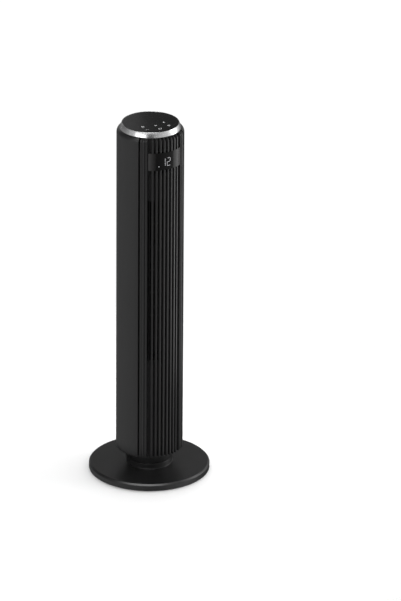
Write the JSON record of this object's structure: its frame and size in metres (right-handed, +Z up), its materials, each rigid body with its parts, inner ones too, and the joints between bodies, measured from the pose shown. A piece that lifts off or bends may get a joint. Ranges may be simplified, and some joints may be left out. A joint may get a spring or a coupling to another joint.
{
  "type": "tower fan",
  "caption": "Slim round tower fan with a ribbed front outlet, a display window, a touch panel on top and a swinging column on a flat round base.",
  "frame": {"origin": "on the floor at the centre of the base, under the column's axis", "axes": "+Z up, -Y the way the fan faces, +X to the right seen from the front"},
  "size_m": [0.297, 0.297, 0.92],
  "materials": {
    "satin_black": "satin moulded plastic",
    "grille_black": "satin moulded plastic with a soft sheen",
    "gloss_panel": "polished touch panel",
    "smoked_window": "polished smoked window",
    "trim_silver": "circular brushed",
    "inner_plastic": "fine texture",
    "white_acetal": "smooth",
    "steel": "machined",
    "ballast": "raw",
    "copper_winding": "wound wire",
    "bronze": "sintered",
    "circuit_board": "solder mask",
    "rubber": "matt",
    "display_light": "lit digits and marks"
  },
  "bodies": {
    "base": {"base_cover": "satin_black", "base_plate": "satin_black", "base_weight": "ballast", "base_screw_1": "steel", "base_screw_2": "steel", "base_screw_3": "steel", "base_screw_4": "steel", "foot_1": "rubber", "foot_2": "rubber", "foot_3": "rubber", "foot_4": "rubber", "foot_5": "rubber", "foot_6": "rubber", "cord_gland": "rubber", "pivot_post": "steel", "sun_gear": "white_acetal", "thrust_washer": "white_acetal", "lock_nut": "steel"},
    "column": {"neck_collar": "satin_black", "bottom_cap": "satin_black", "cap_screw_1": "steel", "cap_screw_2": "steel", "cap_screw_3": "steel", "main_housing": "satin_black", "front_grille": "grille_black", "outlet_guard": "grille_black", "rear_grille": "grille_black", "handle_cup": "satin_black", "trim_ring": "trim_silver", "control_panel": "gloss_panel", "panel_tray": "inner_plastic", "touch_board": "circuit_board", "display_window": "smoked_window", "display_module": "display_light", "scroll_wall": "inner_plastic", "vortex_tongue": "inner_plastic", "top_bearing": "bronze", "motor_mount": "rubber", "motor_housing": "steel", "motor_stator": "copper_winding", "swing_motor": "steel", "power_board": "circuit_board", "duct_floor": "inner_plastic", "duct_ceiling": "inner_plastic"},
    "impeller": {"impeller_segment_1": "inner_plastic", "impeller_segment_2": "inner_plastic", "impeller_segment_3": "inner_plastic", "impeller_segment_4": "inner_plastic", "impeller_segment_5": "inner_plastic", "impeller_segment_6": "inner_plastic", "impeller_segment_7": "inner_plastic", "impeller_hub": "inner_plastic", "impeller_end_cap": "inner_plastic", "motor_shaft": "steel", "motor_rotor": "steel"},
    "swing_drive": {"drive_pinion": "white_acetal", "swing_shaft": "steel"}
  },
  "joints": [
    {"name": "oscillation", "type": "hinge", "parent": "base", "child": "column", "pos_m": [0, 0, 0.06], "axis": [0, 0, 1], "range_deg": [-45, 45]},
    {"name": "impeller_spin", "type": "hinge", "parent": "column", "child": "impeller", "pos_m": [0, 0.012, 0.53], "axis": [0, 0, 1], "continuous": true},
    {"name": "pinion_spin", "type": "hinge", "parent": "column", "child": "swing_drive", "pos_m": [0, 0.03, 0.04], "axis": [0, 0, 1], "range_deg": [-135, 135]}
  ],
  "couplings": [
    {"joint": "pinion_spin", "follows": "oscillation", "ratio": 3}
  ]
}
